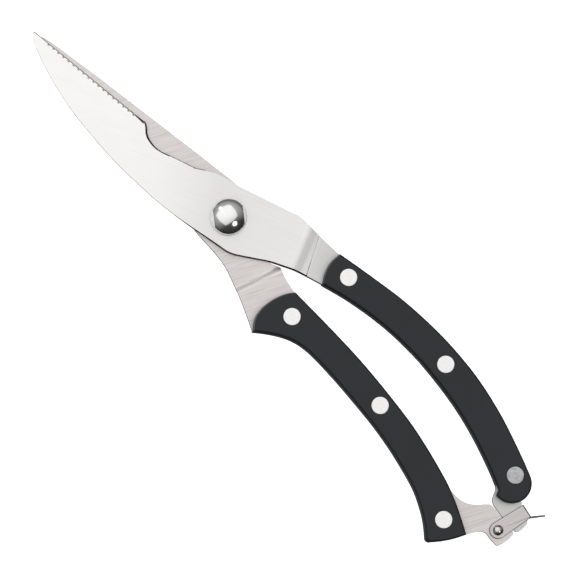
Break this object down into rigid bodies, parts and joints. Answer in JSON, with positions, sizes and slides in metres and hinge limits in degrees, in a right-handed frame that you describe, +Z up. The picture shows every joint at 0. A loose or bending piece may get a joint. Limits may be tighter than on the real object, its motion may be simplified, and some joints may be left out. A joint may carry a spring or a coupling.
{
  "type": "poultry shears",
  "caption": "Full-tang poultry shears with a bone notch, black riveted handle scales, a sprung domed pivot and a swinging latch clip.",
  "frame": {"origin": "centre of the overall box in plan, at the level of the handle faces it lies on", "axes": "+X from the blade tips to the handle ends, +Y from the lower handle to the upper handle, +Z up from the back of the shears to the domed pivot nut"},
  "size_m": [0.2534, 0.0536, 0.0146],
  "materials": {
    "blade_steel": "satin",
    "scale_black": "satin moulded",
    "rivet_steel": "fine satin",
    "pivot_steel": "polished",
    "spring_steel": "oiled",
    "latch_steel": "satin"
  },
  "bodies": {
    "lower_half": {"lower_blade": "blade_steel", "lower_front_scale": "scale_black", "lower_back_scale": "scale_black", "lower_rivet_pin_1": "rivet_steel", "lower_rivet_pin_2": "rivet_steel", "lower_rivet_pin_3": "rivet_steel", "lower_rivet_sleeve_1": "rivet_steel", "lower_rivet_sleeve_2": "rivet_steel", "lower_rivet_sleeve_3": "rivet_steel", "pivot_bolt": "pivot_steel", "pivot_nut": "pivot_steel", "pivot_washer": "pivot_steel", "opening_spring": "spring_steel", "latch_rivet": "latch_steel"},
    "upper_half": {"upper_blade": "blade_steel", "upper_front_scale": "scale_black", "upper_back_scale": "scale_black", "upper_rivet_pin_1": "rivet_steel", "upper_rivet_pin_2": "rivet_steel", "upper_rivet_pin_3": "rivet_steel", "upper_rivet_sleeve_1": "rivet_steel", "upper_rivet_sleeve_2": "rivet_steel", "upper_rivet_sleeve_3": "rivet_steel"},
    "latch": {"latch_clip": "latch_steel"}
  },
  "joints": [
    {"name": "pivot_open", "type": "hinge", "parent": "lower_half", "child": "upper_half", "pos_m": [-0.02979, -0.00159, 0.00755], "axis": [0, 0, 1], "range_deg": [0, 27], "deforming": ["opening_spring"]},
    {"name": "latch_swing", "type": "hinge", "parent": "lower_half", "child": "latch", "pos_m": [0.1188, -0.00509, 0.00625], "axis": [0, 0, -1], "range_deg": [0, 150]}
  ]
}
